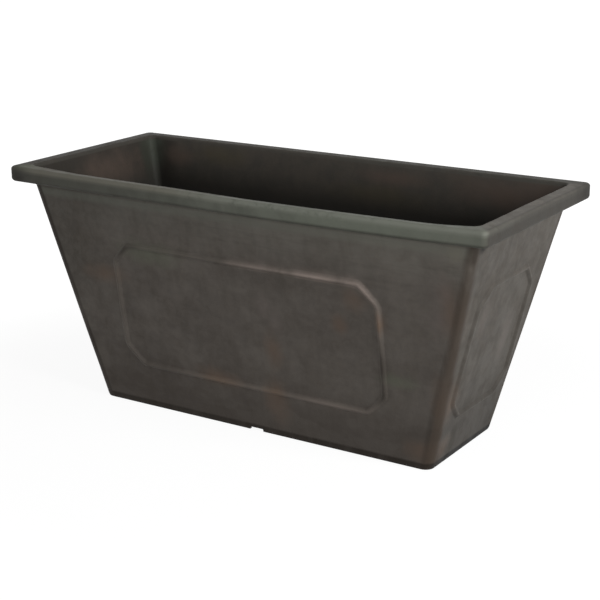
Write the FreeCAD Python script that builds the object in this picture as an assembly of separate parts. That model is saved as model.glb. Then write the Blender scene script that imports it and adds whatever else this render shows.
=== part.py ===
import FreeCAD, Part
import math
import os

# Window-box planter: one moulded body with flared walls, a turned-down rim that is open
# underneath, raised bead frames on its four walls and a floor raised above the ground,
# and one soft plug in each drain hole of the floor.
# The origin is on the ground under the middle. X runs along the box and Z is up.

Vector = FreeCAD.Vector

# Outside of the body
rim_length = 610.0
rim_width = 260.0
height = 283.0
base_length = 442.0
base_width = 151.0
corner_radius = 10.0
foot_edge_chamfer = 1.0

# Walls, floor and the space under it
wall = 4.0
inner_corner_radius = 8.0
floor_thickness = 4.0
floor_fillet = 7.0
foot_clearance = 10.0

# Rim: a level plate round the mouth with a lip that hangs from its outer edge
rim_overhang = 14.0
rim_plate = 5.0
rim_corner_radius = 6.5
channel_corner_radius = 2.0
lip_height = 18.0
lip_thickness = 6.0
lip_top_radius = 3.0
lip_bottom_radius = 4.5
mouth_radius = 3.0
web_thickness = 3.0
web_pitch = 64.0
web_setback = 3.0

# Bead frames, with heights measured straight up from the ground
frame_low = 55.5
frame_high = 204.0
side_frame_half_width = 173.0
end_frame_half_width = 64.0
frame_chamfer = 22.0
bead_width = 6.5
bead_height = 2.6
bead_edge_radius = 2.3

# Ribs under the floor
rib_thickness = 3.0
rib_depth = 5.0
cross_rib_pitch = 100.0
cross_rib_count = 5
long_rib_spacing = 74.0

# Notch in the foot, in the middle of each long side
notch_width = 18.6
notch_height = 3.0
notch_corner_radius = 2.0

# Drain holes and the bosses round them under the floor
drain_count = 4
drain_pitch = 100.0
drain_radius = 10.0
seat_radius = 15.5
seat_depth = 1.5
boss_thickness = 3.5
boss_depth = 5.0

# Plugs
plug_clearance = 0.1
seat_clearance = 0.05
flange_clearance = 1.0
flange_thickness = 3.0
stem_overhang = 0.5
tab_width = 14.0
tab_height = 9.0
tab_thickness = 4.0

# Extra length of a cutting solid past the face that it leaves by
overrun = 5.0

# Sizes that follow from those above
top_length = rim_length - 2 * rim_overhang
top_width = rim_width - 2 * rim_overhang
floor_top = foot_clearance + floor_thickness
end_lean = math.atan2((top_length - base_length) / 2, height)
side_lean = math.atan2((top_width - base_width) / 2, height)
boss_radius = drain_radius + boss_thickness
up = Vector(0, 0, 1)


def wall_size(z):
    """Length and width over the outer faces of the walls at a height."""
    share = z / height
    length = base_length + (top_length - base_length) * share
    width = base_width + (top_width - base_width) * share
    return length, width


def rounded_outline(points, radius):
    """Closed outline through the corners, each rounded by an arc."""
    edges = []
    starts = []
    ends = []
    count = len(points)
    for index in range(count):
        corner = points[index]
        before = (points[index - 1] - corner).normalize()
        after = (points[(index + 1) % count] - corner).normalize()
        half_angle = before.getAngle(after) / 2
        reach = radius / math.tan(half_angle)
        inward = (before + after).normalize()
        start = corner + before * reach
        end = corner + after * reach
        middle = corner + inward * (radius / math.sin(half_angle) - radius)
        edges.append(Part.Arc(start, middle, end).toShape())
        starts.append(start)
        ends.append(end)
    for index in range(count):
        edges.append(Part.LineSegment(ends[index - 1], starts[index]).toShape())
    return Part.Wire(Part.__sortEdges__(edges))


def rounded_rectangle(length, width, radius, z):
    """Level rectangle with rounded corners, centred on the Z axis."""
    x = length / 2
    y = width / 2
    points = [Vector(-x, -y, z), Vector(x, -y, z), Vector(x, y, z), Vector(-x, y, z)]
    return rounded_outline(points, radius)


def upright_block(length, width, radius, low, high):
    """Block with rounded upright corners between two heights."""
    face = Part.Face(rounded_rectangle(length, width, radius, low))
    return face.extrude(up * (high - low))


def box_between(low, high):
    """Box with its corners at two points."""
    size = high - low
    return Part.makeBox(size.x, size.y, size.z, low)


def edges_at(shape, z):
    """Edges of a shape that lie level at a height."""
    found = []
    for edge in shape.Edges:
        box = edge.BoundBox
        if abs(box.ZMin - z) < wall / 100 and abs(box.ZMax - z) < wall / 100:
            found.append(edge)
    return found


def tapered_block(inset, radius, low, high):
    """Block between two heights that follows the walls, drawn in by an inset."""
    low_length, low_width = wall_size(low)
    high_length, high_width = wall_size(high)
    x_low = low_length / 2 - inset
    y_low = low_width / 2 - inset
    x_high = high_length / 2 - inset
    y_high = high_width / 2 - inset
    block = Part.makeWedge(-x_low, low, -y_low, -y_high, -x_high, x_low, high, y_low, y_high, x_high)
    block.rotate(Vector(0, 0, 0), Vector(1, 0, 0), 90)
    corners = [edge for edge in block.Edges if edge.BoundBox.ZLength > (high - low) / 2]
    return block.makeFillet(radius, corners)


def wall_block():
    """Solid block inside the outer faces of the walls, with a softened foot."""
    block = tapered_block(0, corner_radius, 0, height)
    return block.makeChamfer(foot_edge_chamfer, edges_at(block, 0))


def rim():
    """Level plate and hanging lip, open underneath, before the mouth is cut."""
    lip_low = height - lip_height
    block = upright_block(rim_length, rim_width, rim_corner_radius, lip_low, height)
    block = block.makeFillet(lip_bottom_radius, edges_at(block, lip_low))
    block = block.makeFillet(lip_top_radius, edges_at(block, height))
    channel = upright_block(
        rim_length - 2 * lip_thickness,
        rim_width - 2 * lip_thickness,
        channel_corner_radius,
        lip_low - overrun,
        height - rim_plate,
    )
    return block.cut(channel)


def rim_webs():
    """Upright webs that tie the lip to the wall under the rim plate."""
    low = height - lip_height + web_setback
    high = height - rim_plate / 2
    outer_x = (rim_length - lip_thickness) / 2
    outer_y = (rim_width - lip_thickness) / 2
    inner_x = top_length / 2 - rim_overhang
    inner_y = top_width / 2 - rim_overhang
    half = web_thickness / 2
    webs = []
    side_count = int(top_length / web_pitch)
    for index in range(side_count):
        x = (index - (side_count - 1) / 2) * web_pitch
        webs.append(box_between(Vector(x - half, -outer_y, low), Vector(x + half, -inner_y, high)))
        webs.append(box_between(Vector(x - half, inner_y, low), Vector(x + half, outer_y, high)))
    end_count = int(top_width / web_pitch)
    for index in range(end_count):
        y = (index - (end_count - 1) / 2) * web_pitch
        webs.append(box_between(Vector(-outer_x, y - half, low), Vector(-inner_x, y + half, high)))
        webs.append(box_between(Vector(inner_x, y - half, low), Vector(outer_x, y + half, high)))
    return webs


def octagon(half_width, low, high, chamfer, grow):
    """Face with cut corners in the XY plane, grown outward on every side."""
    x = half_width + grow
    y0 = low - grow
    y1 = high + grow
    cut = chamfer + grow * (2 - math.sqrt(2))
    points = [
        Vector(-x + cut, y0, 0),
        Vector(x - cut, y0, 0),
        Vector(x, y0 + cut, 0),
        Vector(x, y1 - cut, 0),
        Vector(x - cut, y1, 0),
        Vector(-x + cut, y1, 0),
        Vector(-x, y1 - cut, 0),
        Vector(-x, y0 + cut, 0),
        Vector(-x + cut, y0, 0),
    ]
    return Part.Face(Part.makePolygon(points))


def bead_frame(turn_deg, setback, lean, half_width):
    """Raised bead round a wall's panel, rooted in the wall that it stands on."""
    low = frame_low / math.cos(lean)
    high = frame_high / math.cos(lean)
    outer = octagon(half_width, low, high, frame_chamfer, bead_width / 2)
    inner = octagon(half_width, low, high, frame_chamfer, -bead_width / 2)
    root = wall / 2
    ring = outer.cut(inner).extrude(up * (root + bead_height))
    ring = ring.makeFillet(bead_edge_radius, edges_at(ring, root + bead_height))
    turn = math.radians(turn_deg)
    along = Vector(math.cos(turn), math.sin(turn), 0)
    outward = Vector(math.sin(turn), -math.cos(turn), 0)
    slope = outward * math.sin(lean) + up * math.cos(lean)
    normal = along.cross(slope)
    rotation = FreeCAD.Rotation(along, slope, normal, "ZXY")
    ring.Placement = FreeCAD.Placement(outward * setback - normal * root, rotation)
    return ring


def bead_frames():
    """One frame on each wall: two on the long sides and two on the ends."""
    return [
        bead_frame(0, base_width / 2, side_lean, side_frame_half_width),
        bead_frame(90, base_length / 2, end_lean, end_frame_half_width),
        bead_frame(180, base_width / 2, side_lean, side_frame_half_width),
        bead_frame(270, base_length / 2, end_lean, end_frame_half_width),
    ]


def soil_space():
    """The hollow of the body, with soft corners along the floor."""
    space = tapered_block(wall, inner_corner_radius, floor_top, height + overrun)
    return space.makeFillet(floor_fillet, edges_at(space, floor_top))


def drain_places():
    """Middles of the drain holes along the floor."""
    places = []
    for index in range(drain_count):
        places.append((index - (drain_count - 1) / 2) * drain_pitch)
    return places


def foot_space():
    """The hollow under the floor, round the ribs and the drain bosses."""
    space = tapered_block(wall, inner_corner_radius, -overrun, foot_clearance)
    rib_low = foot_clearance - rib_depth
    half = rib_thickness / 2
    far_x = base_length
    far_y = base_width
    for index in range(cross_rib_count):
        x = (index - (cross_rib_count - 1) / 2) * cross_rib_pitch
        rib = box_between(Vector(x - half, -far_y, rib_low), Vector(x + half, far_y, foot_clearance))
        space = space.cut(rib)
    for y in (-long_rib_spacing / 2, long_rib_spacing / 2):
        rib = box_between(Vector(-far_x, y - half, rib_low), Vector(far_x, y + half, foot_clearance))
        space = space.cut(rib)
    for x in drain_places():
        boss_low = Vector(x, 0, foot_clearance - boss_depth)
        space = space.cut(Part.makeCylinder(boss_radius, boss_depth, boss_low))
    return space


def notch_passage():
    """Low passage for water under both long walls, rounded at its top."""
    x = notch_width / 2
    points = [
        Vector(-x, -base_width, -notch_height),
        Vector(x, -base_width, -notch_height),
        Vector(x, -base_width, notch_height),
        Vector(-x, -base_width, notch_height),
    ]
    face = Part.Face(rounded_outline(points, notch_corner_radius))
    return face.extrude(Vector(0, 2 * base_width, 0))


def drain_hole(x):
    """Hole through the floor and its boss, with a sunk seat on top."""
    top = floor_top - seat_depth
    low = foot_clearance - boss_depth - overrun
    hole = Part.makeCylinder(drain_radius, top - low, Vector(x, 0, low))
    seat = Part.makeCylinder(seat_radius, seat_depth + overrun, Vector(x, 0, top))
    return hole.fuse(seat)


def soften_mouth(body):
    """Rounds the inner edge of the rim plate round the mouth."""
    edges = []
    for edge in edges_at(body, height):
        box = edge.BoundBox
        inside_x = max(abs(box.XMin), abs(box.XMax)) < top_length / 2
        inside_y = max(abs(box.YMin), abs(box.YMax)) < top_width / 2
        if inside_x and inside_y:
            edges.append(edge)
    return body.makeFillet(mouth_radius, edges)


def planter_body():
    """The whole moulding."""
    body = wall_block().fuse([rim()] + rim_webs() + bead_frames())
    for hollow in (soil_space(), foot_space(), notch_passage()):
        body = body.cut(hollow)
    body = body.cut([drain_hole(x) for x in drain_places()])
    return soften_mouth(body.removeSplitter())


def plug_seat():
    """Height of the underside of a plug's flange."""
    return floor_top - seat_depth + seat_clearance


def pull_tab():
    """Upright tab on a plug, round at its top, to pinch between two fingers."""
    low = plug_seat() + flange_thickness / 2
    top = plug_seat() + flange_thickness + tab_height
    half = tab_width / 2
    shoulder = top - half
    outline = Part.makePolygon([
        Vector(half, 0, shoulder),
        Vector(half, 0, low),
        Vector(-half, 0, low),
        Vector(-half, 0, shoulder),
    ]).Edges
    crown = Part.Arc(Vector(-half, 0, shoulder), Vector(0, 0, top), Vector(half, 0, shoulder))
    outline.append(crown.toShape())
    tab = Part.Face(Part.Wire(outline)).extrude(Vector(0, tab_thickness, 0))
    tab.translate(Vector(0, -tab_thickness / 2, 0))
    return tab


def drain_plug(x):
    """Soft plug that closes one drain hole: a flange on its seat, a stem and a tab."""
    seat = plug_seat()
    tip = foot_clearance - boss_depth - stem_overhang
    flange = Part.makeCylinder(seat_radius - flange_clearance, flange_thickness, up * seat)
    stem = Part.makeCylinder(drain_radius - plug_clearance, seat - tip, up * tip)
    plug = flange.fuse([stem, pull_tab()]).removeSplitter()
    plug.translate(Vector(x, 0, 0))
    return plug


def save(name, shape):
    """Writes one node and reports what it holds."""
    solids = shape.Solids
    solid = solids[0] if len(solids) == 1 else Part.makeCompound(solids)
    print(name, "solids", len(solids), "valid", shape.isValid(), "volume", round(shape.Volume))
    solid.exportStep(os.path.join("parts", name + ".step"))


os.makedirs("parts", exist_ok=True)
save("planter_body", planter_body())
for number, place in enumerate(drain_places(), start=1):
    save("drain_plug_" + str(number), drain_plug(place))
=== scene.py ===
import math

import bmesh
import bpy
import numpy as np
from mathutils import Matrix, Vector, noise


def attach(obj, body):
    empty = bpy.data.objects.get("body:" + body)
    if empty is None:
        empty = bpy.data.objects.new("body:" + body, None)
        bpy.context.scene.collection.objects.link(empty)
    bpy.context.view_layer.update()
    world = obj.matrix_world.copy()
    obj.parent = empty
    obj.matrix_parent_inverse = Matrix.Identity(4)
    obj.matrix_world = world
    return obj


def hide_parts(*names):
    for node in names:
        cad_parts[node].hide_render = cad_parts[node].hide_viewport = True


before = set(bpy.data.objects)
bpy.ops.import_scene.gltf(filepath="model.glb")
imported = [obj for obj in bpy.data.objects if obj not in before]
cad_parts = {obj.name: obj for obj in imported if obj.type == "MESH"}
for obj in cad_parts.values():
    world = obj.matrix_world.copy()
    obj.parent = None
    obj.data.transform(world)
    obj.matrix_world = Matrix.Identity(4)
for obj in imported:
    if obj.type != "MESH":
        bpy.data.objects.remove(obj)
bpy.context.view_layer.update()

# Looks of the window-box planter: one moulded body with an antiqued finish and four soft
# plugs in its floor. Sizes are in millimetres and meshes are written in metres.

MM = 0.001

# Outside of the body
RIM_LENGTH = 610.0
RIM_WIDTH = 260.0
HEIGHT = 283.0
BASE_LENGTH = 442.0
BASE_WIDTH = 151.0
CORNER_RADIUS = 10.0
FOOT_EDGE = 1.3

# Walls and floor
WALL = 4.0
INNER_CORNER = 8.0
FLOOR_TOP = 14.0
FLOOR_UNDER = 10.0
FLOOR_FILLET = 7.0
UNDER_FILLET = 1.2
INNER_FOOT_EDGE = 0.6

# Rim
OVERHANG = 14.0
PLATE = 5.0
RIM_CORNER = 6.5
CHANNEL_CORNER = 2.0
LIP_HEIGHT = 18.0
LIP_THICKNESS = 6.0
LIP_TOP = 3.4
LIP_BOTTOM = 4.5
LIP_INNER_EDGE = 0.8
CHANNEL_FILLET = 1.4
MOUTH = 3.0
WEB_THICKNESS = 3.0
WEB_PITCH = 64.0
WEB_LOW = HEIGHT - LIP_HEIGHT + 3.0
WEB_IN_PLATE = 1.0
WEB_IN_LIP = 1.2
WEB_IN_WALL = 0.9

# Bead frames
FRAME_LOW = 55.5
FRAME_HIGH = 204.0
SIDE_FRAME_HALF = 173.0
END_FRAME_HALF = 64.0
FRAME_CHAMFER = 22.0
FRAME_SOFTNESS = 1.3
BEAD_HALF = 3.7
BEAD_HEIGHT = 2.6

# Notch under each long side
NOTCH_HALF = 9.3
NOTCH_HEIGHT = 3.0
NOTCH_CORNER = 2.0
NOTCH_BLEND = 6.5

# Drain holes and their bosses
DRAIN_X = (-150.0, -50.0, 50.0, 150.0)
DRAIN_RADIUS = 10.0
SEAT_RADIUS = 15.5
SEAT_DEPTH = 1.5
BOSS_RADIUS = 13.5
BOSS_LOW = 5.0
TURN_STEPS = 56

# Ribs under the floor
RIB_THICKNESS = 3.0
RIB_LOW = 5.0
CROSS_RIB_X = (-200.0, -100.0, 0.0, 100.0, 200.0)
LONG_RIB_Y = (-37.0, 37.0)
RIB_SINK = 1.5

# The long ribs stay this little inside the cross ribs, so that no two faces lie in one plane
LONG_RIB_RAISE = 0.02
LONG_RIB_DROP = 0.05

# How far the front of the real one has bellied out and sagged in the middle, and where
BELLY = 6.0
SAG = 1.1
MOUTH_DIP = 2.1
BELLY_END = 287.0
BELLY_FOOT = 20.0
BELLY_ROUNDNESS = 1.25
BELLY_RISE = 1.3
FRONT_BLEND = (20.0, 60.0)
TOP_BLEND = (0.75, 0.98)
SAG_LEFT = (-80.0, 40.0)
SAG_RIGHT = (305.0, 215.0)
DIP_LEFT = (-295.0, -200.0)
DIP_RIGHT = (305.0, 235.0)

# Slow unevenness of the walls: height, size and seed of each wave
WAVES = ((0.22, 75.0, 3.1), (0.07, 22.0, 8.4))

# How far the walls lean outward
END_LEAN = math.atan2((RIM_LENGTH - 2 * OVERHANG - BASE_LENGTH) / 2, HEIGHT)
SIDE_LEAN = math.atan2((RIM_WIDTH - 2 * OVERHANG - BASE_WIDTH) / 2, HEIGHT)
LEAN_DEG = 11

# Rows and columns of the wall mesh, closer together across the beads and the cut corners
BEAD_REACH = 5.2
CUT_REACH = FRAME_CHAMFER + 3.0
BEAD_PITCH = 0.9
CUT_PITCH = 1.15
FOOT_PITCH = 1.1
PLAIN_PITCH = 6.0
MIDDLE_PITCH = 7.0
LONG_PITCH = 7.5
SHORT_PITCH = 8.0
NOTCH_PITCH = 2.5
INNER_PITCH = 9.0
INNER_TOP_GAP = 2.0
INNER_LOW_GAP = 1.0
FIRST_WALL_ROW = 2.2
FOOT_INSIDE_ROWS = (7.6, 6.2, 4.8, 3.6, 2.4, 1.4)
LIP_INSIDE_ROWS = (273.5, 270.0)
LIP_ROWS = (272.4, 275.4, 278.4)
PLATE_STEPS = 5
CORNER_STEPS = 8

# The notch's side is a step this wide between two columns, and this far off is the next one
NOTCH_SIDE = 0.02
NOTCH_NEXT = 1.2

# Beyond its knee, measured from the middle, a side's columns spread out as the side grows
SIDE_KNEE = 185.0
END_KNEE = 70.0
KNEE_GAP = 2.0
SIDE_SPREAD = 15
END_SPREAD = 8

# An outward direction is square on to a side when its share along it is over this
SQUARE_ON = 0.999


def evenly(start, end, pitch):
    """Values from start to just before end, about one pitch apart."""
    count = max(1, round(abs(end - start) / pitch))
    return [start + (end - start) * step / count for step in range(count)]


def stepped(marks, pitches):
    """Values from the first mark to just before the last, each stretch at its own pitch."""
    values = []
    for start, end, pitch in zip(marks, marks[1:], pitches):
        values += evenly(start, end, pitch)
    return values


def smooth_step(low, high, value):
    """0 below low, 1 above high and smooth between."""
    share = np.clip((value - low) / (high - low), 0.0, 1.0)
    return share * share * (3.0 - 2.0 * share)


# Section of the body: closed rounded rectangles, one after another round the whole wall

def wall_outline(z, inset, radius):
    """Half length, half width and corner radius of the wall at a height, drawn in."""
    x = BASE_LENGTH / 2 + math.tan(END_LEAN) * z - inset
    y = BASE_WIDTH / 2 + math.tan(SIDE_LEAN) * z - inset
    return x, y, radius


def rim_outline(inset, radius):
    """Half length, half width and corner radius of the rim, drawn in."""
    return RIM_LENGTH / 2 - inset, RIM_WIDTH / 2 - inset, radius


def arc(steps, start_deg, end_deg):
    """Cosine and sine along an arc, both ends included."""
    angles = np.radians(np.linspace(start_deg, end_deg, steps + 1))
    return list(zip(np.cos(angles), np.sin(angles)))


def wall_heights():
    """Heights of the rows on the outer wall, closer together across the beads."""
    low_bead = (FRAME_LOW - BEAD_REACH, FRAME_LOW + BEAD_REACH)
    between = (FRAME_LOW + CUT_REACH, FRAME_HIGH - CUT_REACH)
    high_bead = (FRAME_HIGH - BEAD_REACH, FRAME_HIGH + BEAD_REACH)
    top = HEIGHT - PLATE - CHANNEL_FILLET
    marks = (FIRST_WALL_ROW, NOTCH_BLEND, *low_bead, *between, *high_bead, top)
    to_middle = (FOOT_PITCH, PLAIN_PITCH, BEAD_PITCH, CUT_PITCH)
    return stepped(marks, (*to_middle, MIDDLE_PITCH, CUT_PITCH, BEAD_PITCH, PLAIN_PITCH))


def body_rings():
    """Part name, half length, half width, corner radius and height of every ring."""
    rings = []

    def add(part, outline, z):
        rings.append((part, *outline, z))

    for c, s in arc(3, 90, 0):
        outline = wall_outline(FLOOR_UNDER, WALL + UNDER_FILLET * (1 - c), INNER_CORNER)
        add("underside", outline, FLOOR_UNDER - UNDER_FILLET * (1 - s))
    for z in FOOT_INSIDE_ROWS:
        add("foot inside", wall_outline(z, WALL, INNER_CORNER), z)
    for c, s in arc(3, 180, 270):
        inset = WALL - INNER_FOOT_EDGE * (1 + c)
        add("foot inside", wall_outline(0, inset, INNER_CORNER), INNER_FOOT_EDGE * (1 + s))
    for c, s in arc(4, 270, 360):
        inset = FOOT_EDGE * (1 - c)
        add("foot", wall_outline(0, inset, CORNER_RADIUS), FOOT_EDGE * (1 + s))
    for z in wall_heights():
        add("wall", wall_outline(z, 0, CORNER_RADIUS), z)

    under = HEIGHT - PLATE
    for c, s in arc(3, 180, 90):
        outline = wall_outline(under, -CHANNEL_FILLET * (1 + c), CORNER_RADIUS)
        add("channel", outline, under - CHANNEL_FILLET * (1 - s))
    for c, s in arc(3, 90, 0):
        inset = LIP_THICKNESS + CHANNEL_FILLET * (1 - c)
        add("channel", rim_outline(inset, CHANNEL_CORNER), under - CHANNEL_FILLET * (1 - s))
    lip_low = HEIGHT - LIP_HEIGHT
    for z in LIP_INSIDE_ROWS:
        add("lip inside", rim_outline(LIP_THICKNESS, CHANNEL_CORNER), z)
    for c, s in arc(3, 180, 270):
        inset = LIP_THICKNESS - LIP_INNER_EDGE * (1 + c)
        add("lip inside", rim_outline(inset, CHANNEL_CORNER), lip_low + LIP_INNER_EDGE * (1 + s))
    for c, s in arc(7, 270, 360):
        inset = LIP_BOTTOM * (1 - c)
        add("lip", rim_outline(inset, RIM_CORNER - inset / 2), lip_low + LIP_BOTTOM * (1 + s))
    for z in LIP_ROWS:
        add("lip", rim_outline(0, RIM_CORNER), z)
    for c, s in arc(5, 0, 90):
        inset = LIP_TOP * (1 - c)
        add("rim edge", rim_outline(inset, RIM_CORNER - inset / 2), HEIGHT - LIP_TOP * (1 - s))

    x_mouth, y_mouth = mouth_centre()
    x_edge, y_edge, _ = rim_outline(LIP_TOP, 0)
    for step in range(1, PLATE_STEPS):
        share = step / PLATE_STEPS
        x = x_edge + (x_mouth - x_edge) * share
        y = y_edge + (y_mouth - y_edge) * share
        radius = (RIM_CORNER - LIP_TOP / 2) * (1 - share) + (INNER_CORNER + MOUTH) * share
        add("plate", (x, y, radius), HEIGHT)
    for c, s in arc(6, 90, 180 - LEAN_DEG):
        outline = (x_mouth + MOUTH * c, y_mouth + MOUTH * c, INNER_CORNER + MOUTH * (1 + c))
        add("mouth", outline, HEIGHT - MOUTH * (1 - s))
    turn = FLOOR_TOP + FLOOR_FILLET
    for z in evenly(HEIGHT - MOUTH - INNER_TOP_GAP, turn + INNER_LOW_GAP, INNER_PITCH):
        add("inside", wall_outline(z, WALL, INNER_CORNER), z)
    for c, s in arc(8, -LEAN_DEG, -90):
        x, y, _ = wall_outline(turn, WALL, 0)
        x += FLOOR_FILLET * (c - 1 / math.cos(END_LEAN))
        y += FLOOR_FILLET * (c - 1 / math.cos(SIDE_LEAN))
        add("inside", (x, y, INNER_CORNER - FLOOR_FILLET * (1 - c)), turn + FLOOR_FILLET * s)
    return rings


def mouth_centre():
    """Half length and half width where the rounding of the mouth has its centre."""
    x, y, _ = wall_outline(HEIGHT - MOUTH, WALL, 0)
    return x + MOUTH / math.cos(END_LEAN), y + MOUTH / math.cos(SIDE_LEAN)


# Columns round the body: places along each side, and steps round each corner

def mirrored(half):
    """The places of one half of a side, put on both halves in order."""
    return [(-place, share) for place, share in reversed(half) if place > 0] + half


def frame_places(half_width, pitch, start):
    """Places of columns from start to the outer edge of a bead frame."""
    marks = (start, half_width - CUT_REACH, half_width - BEAD_REACH, half_width + BEAD_REACH)
    return stepped(marks, (pitch, CUT_PITCH, BEAD_PITCH))


def notch_places():
    """Places of columns over the notch, from its middle to its outer side."""
    flat = NOTCH_HALF - NOTCH_CORNER
    places = evenly(0, flat, NOTCH_PITCH) + [flat + NOTCH_CORNER * c for c, _ in arc(5, 90, 0)]
    return places + [NOTCH_HALF + NOTCH_SIDE, NOTCH_HALF + NOTCH_NEXT]


def side_columns(knee, half_width, pitch, start_places, spread_count):
    """Place on the side and share of the spread beyond the knee, for each column."""
    start = start_places[-1] + 1.0 if start_places else 0.0
    fixed = start_places + frame_places(half_width, pitch, start) + [half_width + BEAD_REACH]
    half = [(place, 0.0) for place in fixed if place < knee]
    half += [(knee, step / spread_count) for step in range(spread_count + 1)]
    return mirrored(half)


def notch_height(x):
    """How far the foot is cut up at a place along a long side."""
    x = abs(x)
    flat = NOTCH_HALF - NOTCH_CORNER
    if x > NOTCH_HALF + NOTCH_SIDE / 2:
        return 0.0
    if x <= flat:
        return NOTCH_HEIGHT
    return NOTCH_HEIGHT - NOTCH_CORNER + math.sqrt(max(0.0, NOTCH_CORNER ** 2 - (x - flat) ** 2))


LONG_COLUMNS = side_columns(SIDE_KNEE, SIDE_FRAME_HALF, LONG_PITCH, notch_places(), SIDE_SPREAD)
SHORT_COLUMNS = side_columns(END_KNEE, END_FRAME_HALF, SHORT_PITCH, [], END_SPREAD)


def ring_places(x_half, y_half, radius):
    """Points of a ring, its outward directions and how far each lies from a corner."""
    points, outward, corner_run = [], [], []
    quarter = math.pi / 2
    for side in range(4):
        long_side = side % 2 == 0
        columns, full_knee = (LONG_COLUMNS, SIDE_KNEE) if long_side else (SHORT_COLUMNS, END_KNEE)
        half, depth = (x_half, y_half) if long_side else (y_half, x_half)
        straight = half - radius
        knee = min(full_knee, straight - KNEE_GAP)
        turn = side * quarter
        along = (math.cos(turn), math.sin(turn))
        out = (math.sin(turn), -math.cos(turn))
        for place, share in columns:
            near = abs(place) / full_knee * knee
            run = math.copysign(near + (straight - knee) * share, place)
            points.append((along[0] * run + out[0] * depth, along[1] * run + out[1] * depth))
            outward.append(out)
            distance = straight - abs(run) + radius * quarter / 2
            corner_run.append(-distance if long_side else distance)
        centre = [along[axis] * straight + out[axis] * (depth - radius) for axis in (0, 1)]
        for step in range(1, CORNER_STEPS):
            angle = turn - quarter + quarter * step / CORNER_STEPS
            direction = (math.cos(angle), math.sin(angle))
            points.append((centre[0] + radius * direction[0], centre[1] + radius * direction[1]))
            outward.append(direction)
            swing = (step / CORNER_STEPS - 0.5) * quarter * radius
            corner_run.append(swing if long_side else -swing)
    return np.array(points), np.array(outward), np.array(corner_run)


def frame_distance(across, up_slope, half_width, lean):
    """Distance from the middle line of a bead frame, with its corners a little soft."""
    low = FRAME_LOW / math.cos(lean)
    high = FRAME_HIGH / math.cos(lean)
    across = np.abs(across)
    middle = (low + high) / 2
    rise = np.abs(up_slope - middle)
    half_height = (high - low) / 2
    cut = (across - half_width + rise - half_height + FRAME_CHAMFER) / math.sqrt(2)
    sides = np.stack([across - half_width, rise - half_height, cut])
    return FRAME_SOFTNESS * np.log(np.exp(sides / FRAME_SOFTNESS).sum(axis=0))


def belly(points):
    """Moves points as the front of the real one has bellied out and sagged."""
    x, y, z = points[:, 0], points[:, 1], points[:, 2]
    middle = np.clip(1.0 - (x / BELLY_END) ** 2, 0.0, 1.0) ** BELLY_ROUNDNESS
    front = smooth_step(*FRONT_BLEND, -y)
    rise = np.clip((z - BELLY_FOOT) / (HEIGHT - BELLY_FOOT), 0.0, 1.0)
    moved = points.copy()
    moved[:, 1] -= BELLY * middle * front * rise ** BELLY_RISE
    near_top = smooth_step(*TOP_BLEND, rise)
    sagged = smooth_step(*SAG_LEFT, x) * smooth_step(*SAG_RIGHT, x)
    moved[:, 2] -= SAG * front * near_top * sagged
    dipped = smooth_step(*DIP_LEFT, x) * smooth_step(*DIP_RIGHT, x)
    mouth_side = smooth_step(RIM_WIDTH / 2 - 1.0, RIM_WIDTH / 2 - OVERHANG, -y)
    moved[:, 2] -= MOUTH_DIP * front * near_top * dipped * mouth_side
    return moved


def uneven(point, size, seed):
    """Slow random rise and fall over the surface."""
    return noise.noise(Vector((point[0] / size + seed, point[1] / size, point[2] / size)))


def join_loops(built, first, second, material=0):
    """Faces between two closed loops with the same count of points."""
    for index in range(len(first)):
        after = (index + 1) % len(first)
        face = built.faces.new((first[index], first[after], second[after], second[index]))
        face.material_index = material


class Moulding:
    """Points, faces and the paint's wear, sheen and shade values of the body while it is put together."""

    def __init__(self):
        self.mesh = bmesh.new()
        self.layers = {}
        for name in ("bead", "bead_foot", "corner_run", "on_rim", "crest_wear_and_sheen", "inside", "lip_shade"):
            self.layers[name] = self.mesh.verts.layers.float.new(name)

    def add_ring(self, points, **values):
        """Points of one ring with their wear, sheen and shade values, one for all or one for each."""
        verts = []
        for index, point in enumerate(points):
            vert = self.mesh.verts.new([float(v) * MM for v in point])
            for name, value in values.items():
                vert[self.layers[name]] = float(value if np.isscalar(value) else value[index])
            verts.append(vert)
        return verts

    def cap(self, loops, material):
        """Fills the flat between an outer ring and the rings of its holes."""
        edges = []
        for loop in loops:
            for index, vert in enumerate(loop):
                edges.append(self.mesh.edges.get((vert, loop[(index + 1) % len(loop)])))
        made = bmesh.ops.triangle_fill(self.mesh, use_beauty=True, use_dissolve=False, edges=edges)
        for item in made["geom"]:
            if isinstance(item, bmesh.types.BMFace):
                item.material_index = material


# Which of the body's two materials a face has
FINISH, BARE = 0, 1

# Painted shade on the lip's lower edge and under the rim, and how far the values about the corners reach
LIP_SHADE = (266.6, 269.6)
CORNER_REACH = 20.0

# Pale wear with painted sheen on the top of the rim by the part of it, and over which heights it grows on
# the lip
CREST_WEAR_AND_SHEEN = {"rim edge": 0.85, "plate": 1.0, "mouth": 0.75}
LIP_WEAR_AND_SHEEN = 0.6
LIP_WEAR_AND_SHEEN_RISE = (275.0, HEIGHT - LIP_TOP)

# The bead's roundness, and the groove line's distance from its foot and its width
BEAD_CROWN = 1.15
GROOVE_OFF = 0.5
GROOVE_WIDTH = 1.3


def ring_values(part, corner_run, z):
    """Wear, sheen and shade values of a ring by the part of the body that it lies on."""
    on_rim = 1.0 if part in ("lip", "rim edge", "plate", "mouth") else 0.0
    crest_wear_and_sheen = CREST_WEAR_AND_SHEEN.get(part, 0.0)
    inside = 1.0 if part == "inside" else 0.0
    lip_shade = 1.0 if part in ("channel", "lip inside") else 0.0
    if part == "lip":
        lip_shade = 1.0 - float(smooth_step(*LIP_SHADE, z))
        crest_wear_and_sheen = LIP_WEAR_AND_SHEEN * float(smooth_step(*LIP_WEAR_AND_SHEEN_RISE, z))
    run = np.clip(corner_run / CORNER_REACH, -1.0, 1.0)
    return {"corner_run": run, "on_rim": on_rim, "crest_wear_and_sheen": crest_wear_and_sheen, "inside": inside, "lip_shade": lip_shade}


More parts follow.
